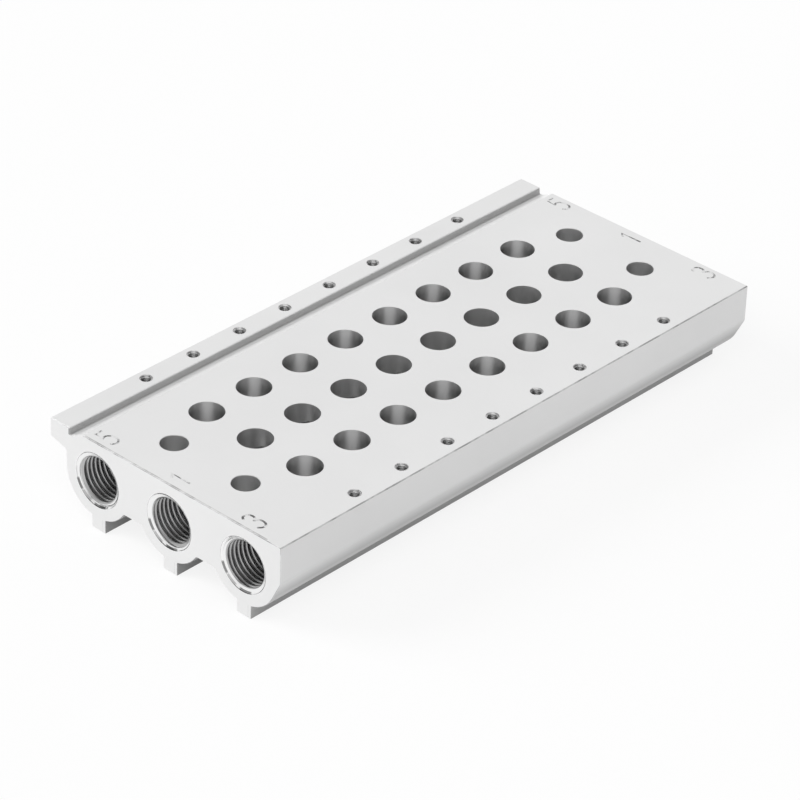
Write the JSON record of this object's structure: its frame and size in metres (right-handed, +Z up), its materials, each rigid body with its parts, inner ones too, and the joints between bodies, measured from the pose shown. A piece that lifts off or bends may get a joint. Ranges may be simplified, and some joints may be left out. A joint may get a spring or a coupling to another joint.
{
  "type": "valve manifold base",
  "caption": "Extruded aluminium manifold rail with a flat valve face, ports above three through channels with threaded ends, a screw strip and ribbed feet.",
  "frame": {"origin": "middle of the rail's length, on the plane of its feet, straight under the middle channel's axis", "axes": "+X along the rail, +Y across it towards the screw strip, +Z up out of the valve face"},
  "size_m": [0.1692, 0.0776, 0.0246],
  "materials": {
    "aluminium": "satin"
  },
  "bodies": {
    "root": {"manifold_rail": "aluminium"}
  },
  "joints": []
}
